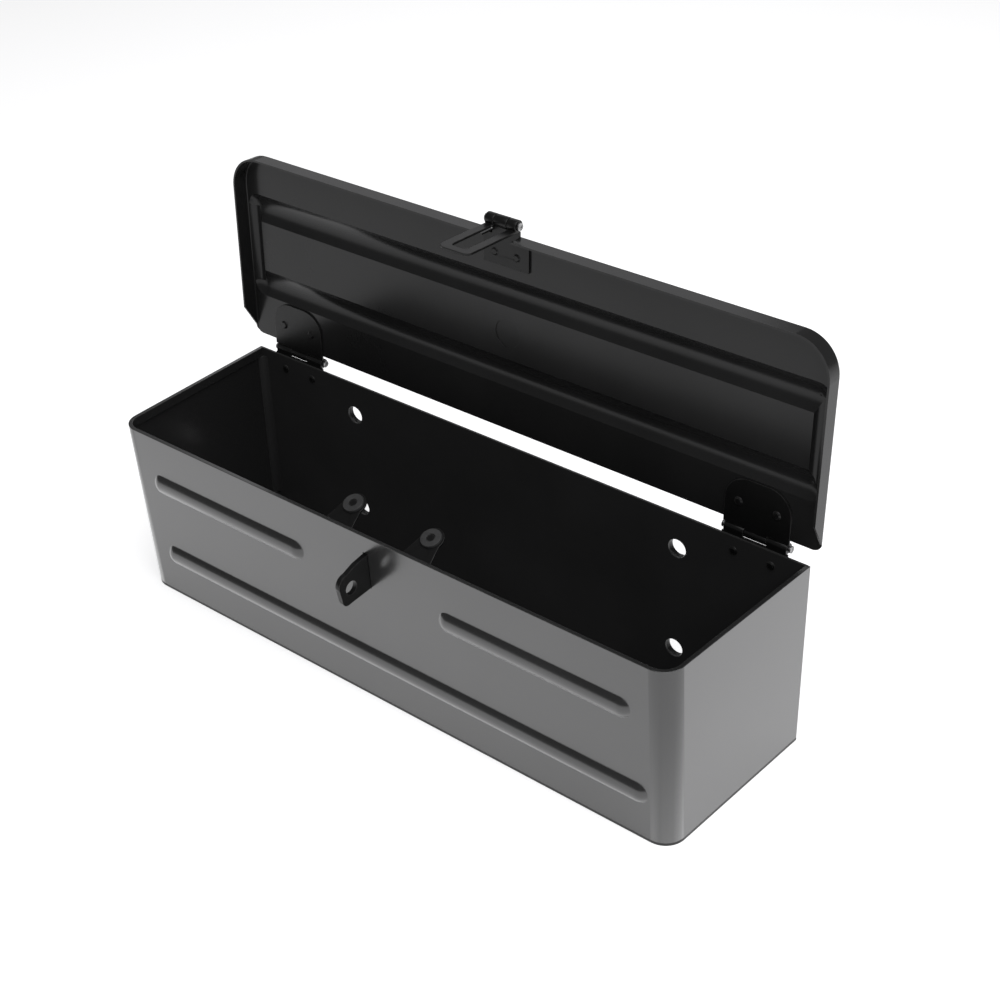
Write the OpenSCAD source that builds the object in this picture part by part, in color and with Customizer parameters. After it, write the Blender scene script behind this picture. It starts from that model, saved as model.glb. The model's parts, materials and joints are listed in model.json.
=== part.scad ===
// Truck tool box: pressed steel box with a hinged lid, slotted hasp and padlock staple.
// Millimetres. X runs along the box, Y from front to back, Z up. The origin is the middle
// of the underside, halfway between the rim's front and back. The lid is drawn standing open.
// The modules below measure Y from the front of the rim; home() moves them to the origin.

/* [Box] */
// Outside length of the box along the back wall
box_length = 419; // [250:1:800]
// Outside depth of the box at the rim
box_depth = 124; // [80:1:300]
// Height of the box to the rim
box_height = 120; // [80:1:300]
// How far the foot of the front wall is set back
front_setback = 6; // [0:0.5:20]
// How far each end leans in towards the front
toe_in = 4.5; // [0:0.5:10]
// Radius of the two upright front corners
corner_radius = 13; // [8:0.5:50]
// Thickness of the body sheet
wall = 1.3; // [0.8:0.1:3]
// Height of the folded hem inside the rim
hem_height = 6; // [3:0.5:12]

/* [Front beads] */
// Width of a pressed bead
bead_width = 14; // [5:0.5:20]
// Depth of a pressed bead
bead_depth = 3.4; // [0.8:0.1:4]
// Inner end of each short upper bead, from the middle
bead_inner = 59; // [40:1:120]
// Outer end of each bead, from the middle
bead_outer = 174; // [100:1:190]
// Height of the upper beads
bead_upper_z = 86; // [50:1:110]
// Height of the long lower bead
bead_lower_z = 32; // [15:1:60]

/* [Mounting holes] */
// Spacing of the mounting holes along the box
hole_pitch_x = 250; // [100:1:380]
// Spacing of the mounting holes in height
hole_pitch_z = 70; // [30:1:90]
// Height of the lower pair of holes
hole_low_z = 27; // [15:1:60]
// Diameter of a mounting hole
hole_d = 12; // [6:0.5:16]
// Outside diameter of a stand-off ferrule
ferrule_d = 19; // [14:0.5:26]
// Length of a stand-off ferrule behind the back wall
ferrule_len = 3.4; // [2:0.5:12]

/* [Lid] */
// Thickness of the lid sheet
lid_wall = 1.2; // [0.8:0.1:3]
// Depth of the lid's turned-down flange
lid_flange = 11; // [8:0.5:20]
// Outside radius of the bend between the lid's top and its flange
lid_bend = 2; // [1.5:0.5:6]
// Outside length of the lid
lid_length = 428; // [260:1:820]
// Outside depth of the lid
lid_depth = 125.2; // [80:0.1:310]
// Outside radius of the lid's front corners
lid_corner = 21.7; // [8:0.1:60]
// Opening angle of the lid as drawn
lid_open = 92; // [0:1:100]
// Width of the long beads pressed into the lid
lid_bead_width = 18; // [6:0.5:24]
// Width of the short beads at the lid's ends
lid_end_bead = 10; // [6:0.5:16]
// Depth of the beads pressed into the lid
lid_bead_depth = 3; // [0.8:0.1:4]

/* [Hinges] */
// Distance of each hinge's middle from the middle of the box
hinge_x = 174; // [80:0.5:190]
// Length of a hinge
hinge_len = 42; // [25:1:60]
// Outside diameter of a hinge knuckle
knuckle_d = 6; // [4:0.1:8]
// Diameter of a hinge pin
hinge_pin_d = 3; // [2:0.1:4]
// Thickness of a hinge leaf
leaf_t = 1.2; // [0.8:0.1:2]

/* [Latch] */
// Distance of the latch from the middle of the box
latch_x = 0; // [-20:0.5:20]
// Width of the slotted hasp
hasp_width = 22; // [16:0.5:40]
// Width of the hasp's slot
hasp_slot = 11; // [6:0.5:20]
// Distance from the lid's top to the end of the hasp
hasp_reach = 48; // [36:0.5:60]
// Diameter of the hasp pin
hasp_pin_d = 3; // [2:0.1:5]
// Outside diameter of the hasp's knuckles
hasp_knuckle_d = 7.2; // [5:0.1:10]
// Diameter of the padlock hole
padlock_d = 8.6; // [6:0.5:12]
// Thickness of the staple
staple_t = 3; // [2:0.1:5]

/* [Hidden] */
$fn = 64;
floor_t = 1.6;
floor_lip = 9;
hl = box_length / 2;
rake = atan(front_setback / box_height);
toe = atan(toe_in / box_depth);
// hinge axis
hy = box_depth + knuckle_d / 2;
hz = box_height + 3.2;
kr = knuckle_d / 2;
pr = hinge_pin_d / 2;
rivet_hole_r = 1.55;
rivet_x = 12;
rivet_z = 111;
leaf_low_z = 103;
outer_knuckle_x = 13.75;
outer_knuckle_w = 12.5;
middle_knuckle_w = 14.4;
// closed lid
lz = box_height + 3.4;
lid_rear = hy - 5.7;
lid_front = lid_rear - lid_depth;
lhw = lid_length / 2;
lcr = lid_corner;
bead_axis_x = lhw - 11.5;
end_axis_x = lhw - 7.5;
ring_front = 88.8;
ring_rear = 37.5;
boss_y = lid_rear - 63;
lid_rivet_y = lid_rear - 13;
// hasp
hpy = lid_front - 7.3;
hpz = lz - 4.5;
hkr = hasp_knuckle_d / 2;
hpr = hasp_pin_d / 2;
hleaf_t = 1.4;
hasp_y = hpy + hkr - hleaf_t;
hasp_low = lz - hasp_reach;
mount_t = 1.4;
mount_half = 16.5;
notch_half = 10.2;
hasp_rivet_x = 8;
hasp_rivet_y = lid_front + 13;
// staple and its bracket
arm_t = 1.3;
foot_y = 2 * wall + arm_t + 0.05;
pad_y = -13.4;
pad_z = 93.5;
slot_low_z = 84.5;
slot_high_z = 108.5;
arm_x = 29.5;
arm_y = 23.5;
arm_z = box_height - 2.3;
arm_tilt = 24;
head_r = 7.6;
buffer_r = 6.6;
buffer_t = 1.6;
bead_r = (pow(bead_width / 2, 2) + pow(bead_depth, 2)) / (2 * bead_depth);

// Leans a shape back with the front wall, about the front wall's top edge.
module leaned() {
    translate([0, 0, box_height]) rotate([rake, 0, 0]) translate([0, 0, -box_height]) children();
}

// Moves a piece from the front of the rim to the middle of the underside.
module home() { translate([0, -box_depth / 2, 0]) children(); }

// Turns the closed lid to the angle it is drawn at.
module opened() {
    translate([0, hy - box_depth / 2, hz]) rotate([-lid_open, 0, 0]) translate([0, -hy, -hz]) children();
}

module both_sides() {
    children();
    mirror([1, 0, 0]) children();
}

// Plan of the box set in by off, running far past the back.
// The ends converge towards the front by the angle toe.
module plan(off) {
    rc = corner_radius;
    c = hl * cos(toe) - box_depth * sin(toe);
    cx = (c - rc + rc * sin(toe)) / cos(toe);
    r = rc - off;
    xb = (c - off + 220 * sin(toe)) / cos(toe);
    union() {
        polygon([[-cx, off], [cx, off], [cx + r * cos(toe), rc - r * sin(toe)], [xb, 220],
                 [-xb, 220], [-cx - r * cos(toe), rc - r * sin(toe)]]);
        translate([-cx, rc]) circle(r);
        translate([cx, rc]) circle(r);
    }
}

// Solid block of the box, set in by off, cut off at yb, z0 and z1.
module block(off, yb, z0, z1) {
    intersection() {
        leaned() translate([0, 0, -40]) linear_extrude(height = box_height + 80) plan(off);
        translate([-hl - 5, -20, z0]) cube([2 * hl + 10, yb + 20, z1 - z0]);
    }
}

// A round-ended bar along X behind the front wall, that crests in front of it.
module bead_bar(x0, x1, z, r) {
    leaned() translate([0, bead_r - bead_depth, z]) union() {
        translate([x0, 0, 0]) rotate([0, 90, 0]) cylinder(r = r, h = x1 - x0);
        translate([x0, 0, 0]) sphere(r = r);
        translate([x1, 0, 0]) sphere(r = r);
    }
}

module beads(r) {
    bead_bar(-bead_outer, -bead_inner, bead_upper_z, r);
    bead_bar(bead_inner, bead_outer, bead_upper_z, r);
    bead_bar(-bead_outer, bead_outer + 10, bead_lower_z, r);
}

// Front wall and both ends, wrapped from one sheet, with the hem and the pressed beads.
module body_wrap() {
    color([0.06, 0.06, 0.065]) home()
    difference() {
        union() {
            difference() {
                block(0, box_depth, floor_t, box_height);
                block(wall, box_depth + 5, -5, box_height + 5);
            }
            difference() {
                block(wall, box_depth - wall, box_height - hem_height, box_height);
                block(2 * wall, box_depth + 5, box_height - hem_height - 5, box_height + 5);
            }
            intersection() {
                beads(bead_r);
                leaned() translate([-hl, -20, 0]) cube([2 * hl, 20 + wall / 2, box_height]);
            }
        }
        intersection() {
            beads(bead_r - wall);
            leaned() translate([-hl, -20, 0]) cube([2 * hl, 20 + wall + 0.5, box_height]);
        }
        staple_slot(-2, 8);
    }
}

// Slot that the staple passes through, from y over a length len.
module staple_slot(y, len) {
    translate([latch_x - staple_t / 2 - 0.15, y, slot_low_z])
        cube([staple_t + 0.3, len, slot_high_z - slot_low_z]);
}

// Back wall between the ends, with a rounded fillet in each upright corner.
module back_panel() {
    color([0.05, 0.05, 0.055]) home()
    difference() {
        union() {
            intersection() {
                block(wall, box_depth, floor_t, box_height);
                translate([-hl - 5, box_depth - wall, 0]) cube([2 * hl + 10, wall, box_height]);
            }
            both_sides() difference() {
                intersection() {
                    block(wall, box_depth, floor_lip, box_height - hem_height);
                    translate([hl - wall - 5, box_depth - wall - 4, 0]) cube([10, 4.5, box_height]);
                }
                translate([hl - wall - 5.4, box_depth - wall - 4.8, -5])
                    cylinder(r = 4.8, h = box_height + 10);
            }
        }
        mount_holes(hole_d / 2, box_depth - 5, 10);
        both_sides() hinge_rivet_holes_body();
    }
}

module mount_holes(r, y, len) {
    for (x = [-hole_pitch_x / 2, hole_pitch_x / 2])
        for (z = [hole_low_z, hole_low_z + hole_pitch_z])
            translate([x, y, z]) rotate([-90, 0, 0]) cylinder(r = r, h = len);
}

// Floor: a plate under the walls, with an upturned edge inside them.
module bottom_panel() {
    color([0.05, 0.05, 0.055]) home()
    union() {
        block(0, box_depth, 0, floor_t);
        difference() {
            block(wall, box_depth - wall, floor_t - 0.5, floor_lip);
            block(2 * wall, box_depth + 5, -5, 20);
        }
    }
}

// Four ferrules that hold the box off the surface it is bolted to.
module mount_ferrules() {
    color([0.08, 0.08, 0.085]) home()
    difference() {
        mount_holes(ferrule_d / 2, box_depth, ferrule_len);
        mount_holes(hole_d / 2, box_depth - 1, ferrule_len + 2);
    }
}

module hinge_rivet_holes_body() {
    for (dx = [-rivet_x, rivet_x])
        translate([hinge_x + dx, box_depth - 6, rivet_z]) rotate([-90, 0, 0])
            cylinder(r = rivet_hole_r, h = 12);
}

// Fixed leaf of the right hinge on the outside of the back wall, with its two outer knuckles.
module body_leaf() {
    difference() {
        union() {
            translate([hinge_x - hinge_len / 2, box_depth, leaf_low_z])
                cube([hinge_len, leaf_t, box_height + 0.7 - leaf_low_z]);
            for (s = [-1, 1]) {
                x = hinge_x + s * outer_knuckle_x - outer_knuckle_w / 2;
                translate([x, box_depth, box_height - 2])
                    cube([outer_knuckle_w, leaf_t, hz - box_height + 2]);
                translate([x, hy, hz]) rotate([0, 90, 0]) cylinder(r = kr, h = outer_knuckle_w);
            }
        }
        translate([hinge_x - 40, hy, hz]) rotate([0, 90, 0]) cylinder(r = pr + 0.02, h = 80);
        hinge_rivet_holes_body();
    }
}

module hinge_body_leaf_right() { color([0.07, 0.07, 0.075]) home() body_leaf(); }
module hinge_body_leaf_left() { color([0.07, 0.07, 0.075]) home() mirror([1, 0, 0]) body_leaf(); }

module pin() {
    translate([hinge_x - hinge_len / 2 - 0.2, hy, hz]) rotate([0, 90, 0])
        cylinder(r = pr, h = hinge_len + 0.4);
    for (s = [-1, 1])
        translate([hinge_x + s * (hinge_len / 2 + 0.5) - 0.45, hy, hz]) rotate([0, 90, 0])
            cylinder(r = 2.1, h = 0.9);
}

module hinge_pin_right() { color([0.25, 0.25, 0.26]) home() pin(); }
module hinge_pin_left() { color([0.25, 0.25, 0.26]) home() mirror([1, 0, 0]) pin(); }

module rivet(len, head, head_h) {
    translate([0, 0, -len / 2]) cylinder(r = 1.5, h = len);
    translate([0, 0, len / 2]) cylinder(r1 = head, r2 = head * 0.6, h = head_h);
    translate([0, 0, -len / 2 - head_h]) cylinder(r1 = head * 0.6, r2 = head, h = head_h);
}

module hinge_rivets_body() {
    color([0.08, 0.08, 0.085]) home()
    both_sides()
        for (dx = [-rivet_x, rivet_x])
            translate([hinge_x + dx, box_depth + (leaf_t - wall) / 2, rivet_z]) rotate([90, 0, 0])
                rivet(wall + leaf_t, 2.8, 0.9);
}

// Moves a shape drawn flat, along Y from the wall, to the sloping arms of the bracket.
module on_arms() {
    translate([0, arm_y, arm_z]) rotate([arm_tilt, 0, 0]) children();
}

// Bracket welded inside the front wall, with two arms that slope up and back to round heads.
module staple_bracket() {
    reach = (arm_y - 2 * wall - 0.6) / cos(arm_tilt);
    color([0.07, 0.07, 0.075]) home()
    difference() {
        union() {
            intersection() {
                leaned() translate([-42, 2 * wall, box_height - 42]) cube([84, arm_t, 42]);
                translate([-50, 0, box_height - 40]) cube([100, 30, 40 - 9.9]);
            }
            for (s = [-1, 1]) on_arms() translate([s * arm_x, 0, -arm_t]) {
                cylinder(r = head_r, h = arm_t);
                linear_extrude(height = arm_t)
                    polygon([[-12, -reach], [12, -reach], [head_r - 0.4, -2], [head_r - 0.02, 0],
                             [0.02 - head_r, 0], [0.4 - head_r, -2]]);
            }
        }
        for (s = [-1, 1]) on_arms() translate([s * arm_x, 0, -4]) cylinder(r = rivet_hole_r, h = 8);
        staple_slot(1, 9);
    }
}

// Staple: a flat rounded tab standing out through the front wall, pierced for a padlock.
module staple_tab() {
    color([0.05, 0.05, 0.055]) home()
    difference() {
        union() {
            translate([latch_x - staple_t / 2, 0, 0]) rotate([90, 0, 90]) linear_extrude(height = staple_t)
                union() {
                    polygon([[foot_y + 2.2, 85.2], [foot_y + 1.1, 108], [-1, 107.6], [-9, 106.2],
                             [-16.4, 103.4], [-22.6, 97], [-20.8, 87.4], [-16.6, 83.4]]);
                    translate([-16.4, 97.2]) circle(6.2);
                    translate([-16.6, 87.6]) circle(4.2);
                }
            leaned() translate([latch_x - staple_t / 2, foot_y, slot_low_z]) cube([14, 1.4, 22]);
        }
        translate([latch_x - 5, pad_y, pad_z]) rotate([0, 90, 0]) cylinder(r = padlock_d / 2, h = 10);
    }
}

// Round rubber buffers on the heads of the arms, that the lid closes over.
module lid_buffers() {
    color([0.1, 0.1, 0.1]) home()
    for (s = [-1, 1]) on_arms() translate([s * arm_x, 0, 0]) difference() {
        cylinder(r1 = buffer_r, r2 = buffer_r - 0.5, h = buffer_t);
        translate([0, 0, -1]) cylinder(r = rivet_hole_r, h = 5);
        translate([0, 0, 0.8]) cylinder(r = 2.6, h = 5);
    }
}

module buffer_studs() {
    color([0.1, 0.1, 0.105]) home()
    for (s = [-1, 1]) on_arms() translate([s * arm_x, 0, 0]) {
        translate([0, 0, -arm_t - 0.1]) cylinder(r = 1.5, h = arm_t + 1.1);
        translate([0, 0, 0.8]) cylinder(r = 2.4, h = 0.4);
        translate([0, 0, -arm_t - 1]) cylinder(r = 2.4, h = 1);
    }
}

// Section through the lid's edge: outer face at x = 0, top at y = 0.
module lid_edge() {
    union() {
        translate([-lid_wall, -lid_flange]) square([lid_wall, lid_flange - lid_bend]);
        intersection() {
            translate([-lid_bend, -lid_bend]) difference() {
                circle(lid_bend);
                circle(lid_bend - lid_wall);
            }
            translate([-lid_bend, -lid_bend]) square(lid_bend + 1);
        }
        translate([-lid_bend - 1, -lid_wall]) square([1, lid_wall]);
    }
}

// Radius of a bead's round section from its width and depth.
function bead_section(w) = (pow(w / 2, 2) + pow(lid_bead_depth, 2)) / (2 * lid_bead_depth);

// Round-section bars that press the lid's frame of beads outwards, grown by g.
module lid_beads(g) {
    rl = bead_section(lid_bead_width);
    re = bead_section(lid_end_bead);
    top = lz - lid_wall + lid_bead_depth;
    yf = lid_rear - ring_front;
    yr = lid_rear - ring_rear;
    for (y = [yf, yr]) translate([0, y, top - rl]) {
        translate([-bead_axis_x, 0, 0]) rotate([0, 90, 0]) cylinder(r = rl + g, h = 2 * bead_axis_x);
        for (s = [-1, 1]) translate([s * bead_axis_x, 0, 0]) sphere(r = rl + g);
    }
    for (s = [-1, 1]) translate([s * end_axis_x, 0, top - re])
        translate([0, yf, 0]) rotate([-90, 0, 0]) cylinder(r = re + g, h = yr - yf);
}

// Slab over the lid's beads, from z0 up, with its ends in by side.
module bead_room(side, z0, height) {
    translate([-lhw + side, lid_front + 4, z0])
        cube([2 * (lhw - side), lid_rear - lid_front - 8, height]);
}

// Pressed lid pan, drawn closed.
module lid_closed() {
    yc = lid_front + lcr;
    difference() {
        union() {
            translate([0, 0, lz - lid_wall]) linear_extrude(height = lid_wall) union() {
                translate([-lhw + lid_bend, yc]) square([2 * (lhw - lid_bend), lid_rear - yc]);
                translate([-lhw + lcr, lid_front + lid_bend])
                    square([2 * (lhw - lcr), lcr - lid_bend + 1]);
                translate([-lhw + lcr, yc]) circle(lcr - lid_bend);
                translate([lhw - lcr, yc]) circle(lcr - lid_bend);
            }
            both_sides() {
                translate([lhw, lid_rear, lz]) rotate([90, 0, 0])
                    linear_extrude(height = lid_rear - yc) lid_edge();
                translate([lhw - lcr, yc, lz]) rotate([0, 0, -90])
                    rotate_extrude(angle = 90) translate([lcr, 0]) lid_edge();
            }
            translate([-lhw + lcr, lid_front, lz]) rotate([90, 0, 90])
                linear_extrude(height = 2 * (lhw - lcr)) mirror([1, 0]) lid_edge();
            intersection() {
                lid_beads(lid_wall);
                bead_room(1.6, lz - lid_wall / 2, 10);
            }
            // small round boss
            translate([0, boss_y, lz - 0.3]) cylinder(r = 10, h = 0.8);
        }
        intersection() {
            lid_beads(0);
            bead_room(lid_wall + 0.6, lz - 10, 20);
        }
        translate([0, boss_y, lz - lid_wall - 1]) cylinder(r = 9, h = 1.5);
        // side flanges run out towards the rear
        translate([-lhw - 5, 0, 0]) rotate([90, 0, 90]) linear_extrude(height = 2 * lhw + 10)
            polygon([[lid_rear + 2, lz - lid_wall - 0.4], [lid_rear + 2, lz - 20], [lid_rear - 20.5, lz - 20],
                     [lid_rear - 20.5, lz - lid_flange], [lid_rear - 5, lz - lid_wall - 0.4]]);
        // rounded rear corners
        both_sides() difference() {
            translate([lhw - 6, lid_rear - 6, lz - 20]) cube([8, 8, 30]);
            translate([lhw - 6, lid_rear - 6, lz - 21]) cylinder(r = 6, h = 32);
        }
        // opening in the front edge for the hasp's mount and the staple
        translate([latch_x - notch_half, lid_front - 2, lz - 20])
            cube([2 * notch_half, lid_bend + 2.1, 25]);
        both_sides() hinge_rivet_holes_lid();
        hasp_rivet_holes();
    }
}

module lid_pan() { color([0.06, 0.06, 0.065]) opened() lid_closed(); }

module hinge_rivet_holes_lid() {
    for (dx = [-rivet_x, rivet_x])
        translate([hinge_x + dx, lid_rivet_y, lz - 8]) cylinder(r = rivet_hole_r, h = 16);
}

// Moving leaf of the right hinge under the lid, with its middle knuckle.
module lid_leaf() {
    z0 = lz - lid_wall - leaf_t;
    rr = 15;
    y0 = lid_rear - 28;
    x0 = hinge_x - hinge_len / 2;
    difference() {
        union() {
            translate([0, 0, z0]) linear_extrude(height = leaf_t) union() {
                translate([x0, y0 + rr]) square([hinge_len, box_depth - 0.4 - y0 - rr]);
                translate([x0 + rr, y0]) square([hinge_len - 2 * rr, rr + 1]);
                for (s = [-1, 1]) translate([hinge_x + s * (hinge_len / 2 - rr), y0 + rr]) circle(rr);
            }
            translate([hinge_x - middle_knuckle_w / 2, box_depth - 2, z0])
                cube([middle_knuckle_w, hy - box_depth + 1, leaf_t]);
            translate([hinge_x - middle_knuckle_w / 2, hy, hz]) rotate([0, 90, 0])
                cylinder(r = kr, h = middle_knuckle_w);
        }
        translate([hinge_x - 40, hy, hz]) rotate([0, 90, 0]) cylinder(r = pr + 0.05, h = 80);
        hinge_rivet_holes_lid();
    }
}

module hinge_lid_leaf_right() { color([0.07, 0.07, 0.075]) opened() lid_leaf(); }
module hinge_lid_leaf_left() { color([0.07, 0.07, 0.075]) opened() mirror([1, 0, 0]) lid_leaf(); }

module hinge_rivets_lid() {
    color([0.08, 0.08, 0.085]) opened() both_sides()
        for (dx = [-rivet_x, rivet_x])
            translate([hinge_x + dx, lid_rivet_y, lz - (lid_wall + leaf_t) / 2])
                rivet(lid_wall + leaf_t, 2.8, 0.9);
}

module hasp_rivet_holes() {
    for (dx = [-hasp_rivet_x, hasp_rivet_x])
        translate([latch_x + dx, hasp_rivet_y, lz - 8]) cylinder(r = rivet_hole_r, h = 16);
}

// Plate under the lid that carries the hasp's pin in front of the flange.
module hasp_mount() {
    z0 = lz - lid_wall - mount_t;
    color([0.06, 0.06, 0.065]) opened()
    difference() {
        union() {
            translate([latch_x - mount_half, lid_front + lid_bend + 0.2, z0])
                cube([2 * mount_half, 18, mount_t]);
            translate([latch_x - notch_half + 0.4, lid_front - 3, z0])
                cube([2 * notch_half - 0.8, 8, mount_t]);
            translate([latch_x - 4.5, hpy, z0]) cube([9, lid_front - 1 - hpy, mount_t]);
            translate([latch_x - 4.5, hpy, hpz]) rotate([0, 90, 0]) cylinder(r = hkr, h = 9);
        }
        translate([latch_x - 30, hpy, hpz]) rotate([0, 90, 0]) cylinder(r = hpr + 0.02, h = 60);
        hasp_rivet_holes();
    }
}

module hasp_rivets() {
    color([0.08, 0.08, 0.085]) opened()
        for (dx = [-hasp_rivet_x, hasp_rivet_x])
            translate([latch_x + dx, hasp_rivet_y, lz - (lid_wall + mount_t) / 2])
                rivet(lid_wall + mount_t, 2.6, 0.8);
}

module hasp_pin() {
    color([0.25, 0.25, 0.26]) opened() {
        translate([latch_x - 11.4, hpy, hpz]) rotate([0, 90, 0]) cylinder(r = hpr, h = 22.8);
        for (s = [-1, 1])
            translate([latch_x + s * 11.8 - 0.5, hpy, hpz]) rotate([0, 90, 0]) cylinder(r = 2.3, h = 1);
    }
}

// Slotted hasp that drops over the staple.
module hasp_leaf() {
    w = hasp_width / 2;
    c = 5;
    slot_r = 3;
    slot_z = hasp_low + c;
    slot_len = hasp_reach - c - slot_r - 4.9 - hkr;
    color([0.06, 0.06, 0.065]) opened()
    difference() {
        union() {
            translate([latch_x, hasp_y + hleaf_t, 0]) rotate([90, 0, 0])
                linear_extrude(height = hleaf_t) union() {
                translate([-w, hasp_low + c]) square([2 * w, hpz - hasp_low - c]);
                translate([-w + c, hasp_low]) square([2 * (w - c), c + 1]);
                for (s = [-1, 1]) translate([s * (w - c), hasp_low + c]) circle(c);
            }
            for (s = [-1, 1])
                translate([latch_x + s * 7.95 - 3.05, hpy, hpz]) rotate([0, 90, 0])
                    cylinder(r = hkr, h = 6.1);
        }
        translate([latch_x - 30, hpy, hpz]) rotate([0, 90, 0]) cylinder(r = hpr + 0.06, h = 60);
        translate([latch_x - 4.9, hasp_y - 10, hpz - 6]) cube([9.8, 20, 20]);
        translate([latch_x - hasp_slot / 2, hasp_y - 1, slot_z + slot_r])
            cube([hasp_slot, hleaf_t + 2, slot_len]);
        translate([latch_x - hasp_slot / 2 + slot_r, hasp_y - 1, slot_z])
            cube([hasp_slot - 2 * slot_r, hleaf_t + 2, slot_r + 1]);
        for (s = [-1, 1])
            translate([latch_x + s * (hasp_slot / 2 - slot_r), hasp_y + hleaf_t + 1, slot_z + slot_r])
                rotate([90, 0, 0]) cylinder(r = slot_r, h = hleaf_t + 2);
    }
}

body_wrap();
back_panel();
bottom_panel();
mount_ferrules();
hinge_body_leaf_left();
hinge_body_leaf_right();
hinge_pin_left();
hinge_pin_right();
hinge_rivets_body();
staple_bracket();
staple_tab();
lid_buffers();
buffer_studs();
lid_pan();
hinge_lid_leaf_left();
hinge_lid_leaf_right();
hinge_rivets_lid();
hasp_mount();
hasp_pin();
hasp_rivets();
hasp_leaf();
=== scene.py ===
"""Looks for the truck tool box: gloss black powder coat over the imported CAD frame, in a white studio."""

import json
import math

import bmesh
import bpy
from mathutils import Matrix, Vector


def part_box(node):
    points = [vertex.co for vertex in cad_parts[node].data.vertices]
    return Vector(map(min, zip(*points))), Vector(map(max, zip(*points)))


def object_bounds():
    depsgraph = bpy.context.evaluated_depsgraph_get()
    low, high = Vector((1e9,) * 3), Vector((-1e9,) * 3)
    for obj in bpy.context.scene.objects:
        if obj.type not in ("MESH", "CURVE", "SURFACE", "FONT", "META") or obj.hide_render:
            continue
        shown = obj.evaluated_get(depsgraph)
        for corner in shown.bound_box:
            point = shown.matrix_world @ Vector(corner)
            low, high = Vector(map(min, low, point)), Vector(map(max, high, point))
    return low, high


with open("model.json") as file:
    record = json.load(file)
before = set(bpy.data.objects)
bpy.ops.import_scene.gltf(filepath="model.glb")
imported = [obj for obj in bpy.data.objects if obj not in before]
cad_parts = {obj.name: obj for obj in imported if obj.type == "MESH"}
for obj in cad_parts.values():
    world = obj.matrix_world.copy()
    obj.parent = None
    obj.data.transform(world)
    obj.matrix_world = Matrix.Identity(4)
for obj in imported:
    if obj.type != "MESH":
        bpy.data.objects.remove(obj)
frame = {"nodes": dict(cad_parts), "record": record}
CAD_LO, CAD_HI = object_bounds()
NODES = frame["nodes"]
# Painted shade: the flat grey of the body's faces that look into the box.
INSIDE_SHADE_GREY = 0.018
# Reach in metres of the painted highlight along the edges.
EDGE_HIGHLIGHT_REACH = 0.0008
FLOOR_HALF = 6.0
FLOOR_GAP = 0.0002


# ---------------------------------------------------------------- helpers
def mm(*values):
    """Millimetres in the row frame to a vector in metres."""
    return Vector(values) / 1000.0


def new_material(name):
    """A node material with its Principled shader, as (material, nodes, links, shader)."""
    mat = bpy.data.materials.new(name)
    mat.use_nodes = True
    tree = mat.node_tree
    return mat, tree.nodes, tree.links, tree.nodes["Principled BSDF"]


def noise(nodes, links, coords, scale, detail, rough):
    """The factor of a noise texture over coords."""
    tex = nodes.new("ShaderNodeTexNoise")
    tex.inputs["Scale"].default_value = scale
    tex.inputs["Detail"].default_value = detail
    tex.inputs["Roughness"].default_value = rough
    links.new(coords, tex.inputs["Vector"])
    return tex.outputs["Fac"]


def ramp(nodes, links, fac, stops):
    """A grey ramp over fac between two stops, each (position, grey)."""
    node = nodes.new("ShaderNodeValToRGB")
    for element, (position, grey) in zip(node.color_ramp.elements, stops):
        element.position = position
        element.color = (grey, grey, grey, 1.0)
    links.new(fac, node.inputs["Fac"])
    return node.outputs["Color"]


def painted_edge_highlight(nodes, links, coords, base, highlight_grey):
    """Painted highlight: a lighter grey along the convex edges of a pressing, broken up by noise."""
    soft = nodes.new("ShaderNodeBevel")
    soft.samples = 4
    soft.inputs["Radius"].default_value = EDGE_HIGHLIGHT_REACH
    flat = nodes.new("ShaderNodeNewGeometry").outputs["Normal"]
    turn = nodes.new("ShaderNodeVectorMath")
    turn.operation = "DOT_PRODUCT"
    links.new(soft.outputs["Normal"], turn.inputs[0])
    links.new(flat, turn.inputs[1])
    edge = ramp(nodes, links, turn.outputs["Value"], [(0.80, 1.0), (0.985, 0.0)])
    patchy = ramp(nodes, links, noise(nodes, links, coords, 240.0, 5.0, 0.7), [(0.42, 0.15), (0.66, 1.0)])
    broken = nodes.new("ShaderNodeMath")
    broken.operation = "MULTIPLY"
    links.new(edge, broken.inputs[0])
    links.new(patchy, broken.inputs[1])
    mix = nodes.new("ShaderNodeMix")
    mix.data_type = "RGBA"
    mix.inputs["B"].default_value = (highlight_grey, highlight_grey, highlight_grey * 0.97, 1.0)
    links.new(broken.outputs[0], mix.inputs["Factor"])
    links.new(base, mix.inputs["A"])
    return mix.outputs["Result"]


def painted_inside_shade(nodes, links, coords, centre, base):
    """Painted shade: gives the faces that look in towards centre one flat grey in place of the coat's,
    standing in for the shade inside the box.
    """
    outward = nodes.new("ShaderNodeVectorMath")
    outward.operation = "SUBTRACT"
    outward.inputs[1].default_value = centre
    links.new(coords, outward.inputs[0])
    facing = nodes.new("ShaderNodeVectorMath")
    facing.operation = "DOT_PRODUCT"
    links.new(outward.outputs["Vector"], facing.inputs[0])
    links.new(nodes.new("ShaderNodeNewGeometry").outputs["Normal"], facing.inputs[1])
    outside = nodes.new("ShaderNodeMath")
    outside.operation = "GREATER_THAN"
    outside.inputs[1].default_value = 0.0
    links.new(facing.outputs["Value"], outside.inputs[0])
    mix = nodes.new("ShaderNodeMix")
    mix.data_type = "RGBA"
    mix.inputs["A"].default_value = (INSIDE_SHADE_GREY, INSIDE_SHADE_GREY, INSIDE_SHADE_GREY, 1.0)
    links.new(outside.outputs[0], mix.inputs["Factor"])
    links.new(base, mix.inputs["B"])
    return mix.outputs["Result"]


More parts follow.
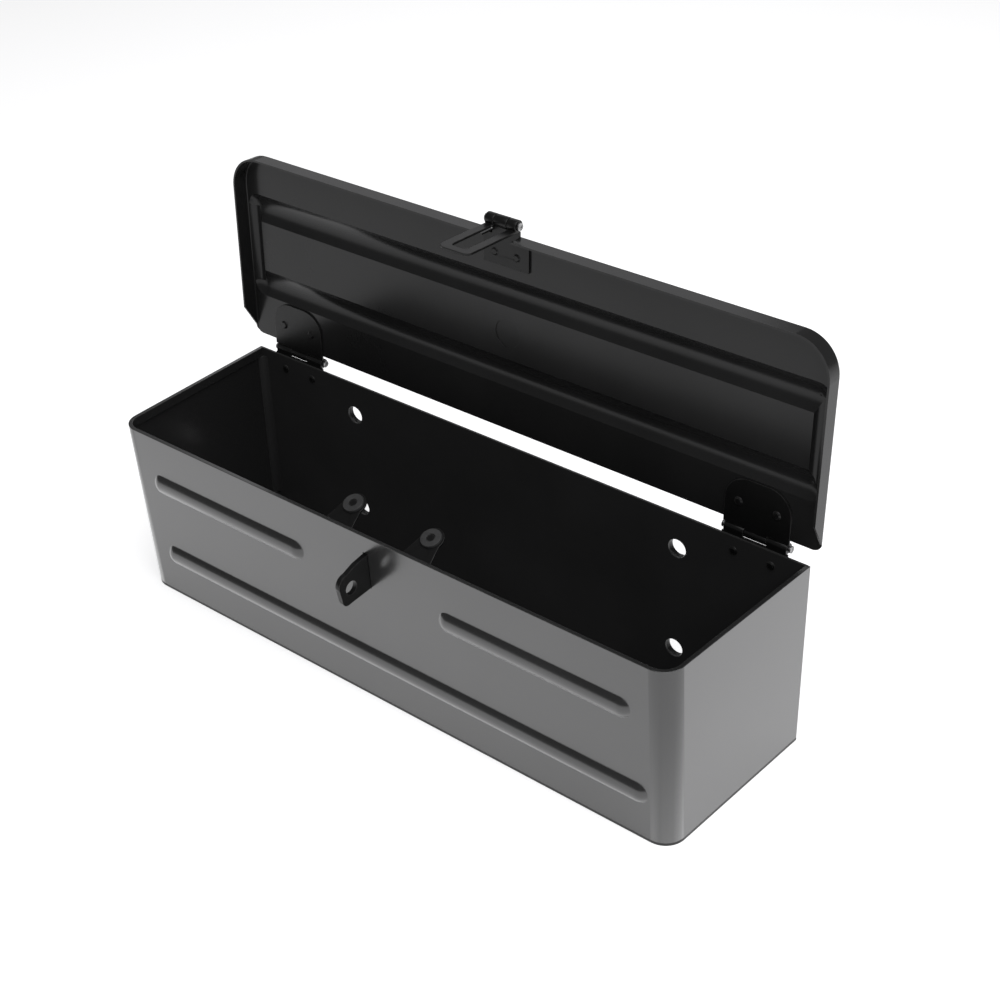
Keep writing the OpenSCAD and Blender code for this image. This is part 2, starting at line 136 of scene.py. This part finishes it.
def powder_coat(name, dark, light, gloss, sheen, highlight_grey, peel=0.05, coat=0.0, centre=None):
    """Black powder coat: orange-peel skin, uneven sheen from handling, and a painted highlight along its
    edges.

    dark and light are the greys of the paint, gloss its (lowest, highest) roughness, sheen its
    specular level, highlight_grey the grey of the painted highlight along its edges, peel the skin's
    strength and coat the weight of the clear layer. centre is the middle of a box whose inner faces
    get a painted shade grey of their own.
    """
    mat, nodes, links, shader = new_material(name)
    coords = nodes.new("ShaderNodeTexCoord").outputs["Object"]
    patch = noise(nodes, links, coords, 14.0, 4.0, 0.55)
    base = ramp(nodes, links, patch, [(0.3, dark), (0.7, light)])
    # Painted shade on the faces that look into the box.
    if centre:
        base = painted_inside_shade(nodes, links, coords, centre, base)
    # Painted highlight: a lighter grey along the edges, laid over the base.
    links.new(painted_edge_highlight(nodes, links, coords, base, highlight_grey), shader.inputs["Base Color"])
    smear = noise(nodes, links, coords, 9.0, 5.0, 0.65)
    rough = ramp(nodes, links, smear, [(0.25, gloss[0]), (0.75, gloss[1])])
    links.new(rough, shader.inputs["Roughness"])
    skin = nodes.new("ShaderNodeBump")
    skin.inputs["Strength"].default_value = peel
    skin.inputs["Distance"].default_value = 0.0003
    links.new(noise(nodes, links, coords, 560.0, 2.0, 0.5), skin.inputs["Height"])
    links.new(skin.outputs["Normal"], shader.inputs["Normal"])
    shader.inputs["Specular IOR Level"].default_value = sheen
    shader.inputs["Coat Weight"].default_value = coat
    shader.inputs["Coat Roughness"].default_value = 0.24
    return mat


def bare_steel(name):
    """Plain steel of the pins, drawn along X, dulled by the coat's overspray."""
    mat, nodes, links, shader = new_material(name)
    coords = nodes.new("ShaderNodeTexCoord").outputs["Object"]
    stretch = nodes.new("ShaderNodeMapping")
    stretch.inputs["Scale"].default_value = (0.05, 1.0, 1.0)
    links.new(coords, stretch.inputs["Vector"])
    streak = noise(nodes, links, stretch.outputs["Vector"], 2400.0, 3.0, 0.6)
    patch = noise(nodes, links, coords, 300.0, 3.0, 0.6)
    links.new(ramp(nodes, links, patch, [(0.35, 0.05), (0.65, 0.42)]), shader.inputs["Base Color"])
    links.new(ramp(nodes, links, streak, [(0.3, 0.22), (0.7, 0.42)]), shader.inputs["Roughness"])
    shader.inputs["Metallic"].default_value = 0.9
    return mat


def rubber(name):
    """Matt black moulded rubber."""
    mat, nodes, links, shader = new_material(name)
    coords = nodes.new("ShaderNodeTexCoord").outputs["Object"]
    patch = noise(nodes, links, coords, 180.0, 4.0, 0.6)
    links.new(ramp(nodes, links, patch, [(0.3, 0.016), (0.7, 0.030)]), shader.inputs["Base Color"])
    bump = nodes.new("ShaderNodeBump")
    bump.inputs["Strength"].default_value = 0.25
    bump.inputs["Distance"].default_value = 0.0003
    links.new(noise(nodes, links, coords, 1500.0, 3.0, 0.6), bump.inputs["Height"])
    links.new(bump.outputs["Normal"], shader.inputs["Normal"])
    shader.inputs["Roughness"].default_value = 0.62
    return mat


def round_edges(node, width_mm):
    """Joins a CAD node's split vertices and rounds its sharp edges by width_mm, keeping flat faces flat."""
    weld = node.modifiers.new("joined", "WELD")
    weld.merge_threshold = 2e-6
    bevel = node.modifiers.new("edges", "BEVEL")
    bevel.width = width_mm / 1000.0
    bevel.segments = 3
    bevel.limit_method = "ANGLE"
    bevel.angle_limit = math.radians(55.0)
    bevel.use_clamp_overlap = True
    bevel.harden_normals = True


# ---------------------------------------------------------------- materials
WRAP_LO, WRAP_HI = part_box("body_wrap")
BOX_MIDDLE = tuple((WRAP_LO + WRAP_HI) / 2)
# One black powder coat on every part. The darker greys of the lid and fittings are painted shade, and the
# lighter grey of the inside parts is painted light, each set for how light falls there.
BY_SLOT = {
    "body": powder_coat("coat_body", 0.012, 0.018, (0.15, 0.24), sheen=0.45, highlight_grey=0.10, peel=0.06,
                        coat=0.92, centre=BOX_MIDDLE),
    "inside": powder_coat("coat_inside", 0.022, 0.029, (0.30, 0.40), sheen=0.3, highlight_grey=0.05),
    "lid": powder_coat("coat_lid", 0.011, 0.015, (0.17, 0.25), sheen=0.25, highlight_grey=0.04),
    "fittings": powder_coat("coat_fittings", 0.004, 0.007, (0.26, 0.38), sheen=0.25, highlight_grey=0.06, peel=0.10),
    "pins": bare_steel("pin_steel"),
    "buffers": rubber("buffer_rubber"),
}

# Width in millimetres of the rounded edges, where it isn't EDGE. The lid's edges stay as the
# frame has them, because its beads shade in streaks once their facets are joined.
EDGE = 0.25
EDGES = {"body_wrap": 0.6, "back_panel": 0.3, "bottom_panel": 0.4, "staple_tab": 0.5, "hasp_leaf": 0.35}

for sub in frame["record"]["subparts"]:
    node = NODES[sub["node"]]
    node.data.materials.clear()
    node.data.materials.append(BY_SLOT[sub["material_slot"]])
    if sub["node"] != "lid_pan":
        round_edges(node, EDGES.get(sub["node"], EDGE))


# ---------------------------------------------------------------- camera
cam_data = bpy.data.cameras.new("camera")
cam = bpy.data.objects.new("camera", cam_data)
bpy.context.scene.collection.objects.link(cam)
bpy.context.scene.camera = cam
cam_data.sensor_width = 36.0
cam_data.lens = 63.73
cam_data.clip_start = 0.05
cam_data.clip_end = 50.0
CAMERA_AT = mm(585.9, -627.0, 661.5)
LOOKS = Vector((-0.5483, 0.6381, -0.5405)).normalized()
RIGHT = Vector((0.7704, 0.6370, -0.0270))
RIGHT = (RIGHT - LOOKS * RIGHT.dot(LOOKS)).normalized()
UP = RIGHT.cross(LOOKS)
cam.matrix_world = Matrix.Translation(CAMERA_AT) @ Matrix((RIGHT, UP, -LOOKS)).transposed().to_4x4()


# ---------------------------------------------------------------- studio
def area_light(name, at, aim, size, power):
    """A square softbox at a point, aimed at another."""
    data = bpy.data.lights.new(name, "AREA")
    data.shape = "SQUARE"
    data.size = size
    data.energy = power
    data.color = (0.98, 0.98, 1.0)
    light = bpy.data.objects.new(name, data)
    bpy.context.scene.collection.objects.link(light)
    light.location = at
    light.rotation_mode = "QUATERNION"
    light.rotation_quaternion = (Vector(aim) - Vector(at)).to_track_quat("-Z", "Y")


area_light("overhead", (0.65, -0.25, 1.55), (0.1, -0.05, 0), 2.0, 33.0)
area_light("back_soft", (-0.9, 1.1, 1.0), (0, 0.06, 0.25), 0.9, 1.5)

# The room is dim to the object, so its upward slopes stay dark, and pale to the camera.
world = bpy.data.worlds.new("studio")
bpy.context.scene.world = world
world.use_nodes = True
sky = world.node_tree
dim = sky.nodes["Background"]
dim.inputs["Color"].default_value = (1.0, 1.0, 1.0, 1.0)
dim.inputs["Strength"].default_value = 0.14
pale = sky.nodes.new("ShaderNodeBackground")
pale.inputs["Color"].default_value = (1.0, 1.0, 1.0, 1.0)
either = sky.nodes.new("ShaderNodeMixShader")
sky.links.new(sky.nodes.new("ShaderNodeLightPath").outputs["Is Camera Ray"], either.inputs["Fac"])
sky.links.new(dim.outputs["Background"], either.inputs[1])
sky.links.new(pale.outputs["Background"], either.inputs[2])
sky.links.new(either.outputs["Shader"], sky.nodes["World Output"].inputs["Surface"])

floor_mesh = bpy.data.meshes.new("floor")
bm = bmesh.new()
bmesh.ops.create_grid(bm, x_segments=1, y_segments=1, size=FLOOR_HALF)
bm.to_mesh(floor_mesh)
bm.free()
floor = bpy.data.objects.new("floor", floor_mesh)
bpy.context.scene.collection.objects.link(floor)
floor.location = (0, 0, CAD_LO.z - FLOOR_GAP)
floor_mat, _, _, floor_shader = new_material("floor_paper")
floor_shader.inputs["Base Color"].default_value = (0.88, 0.88, 0.88, 1.0)
floor_shader.inputs["Roughness"].default_value = 0.9
floor_shader.inputs["Emission Color"].default_value = (1.0, 1.0, 1.0, 1.0)
floor_shader.inputs["Emission Strength"].default_value = 0.55
floor_mesh.materials.append(floor_mat)

bpy.context.scene.view_settings.view_transform = "Standard"
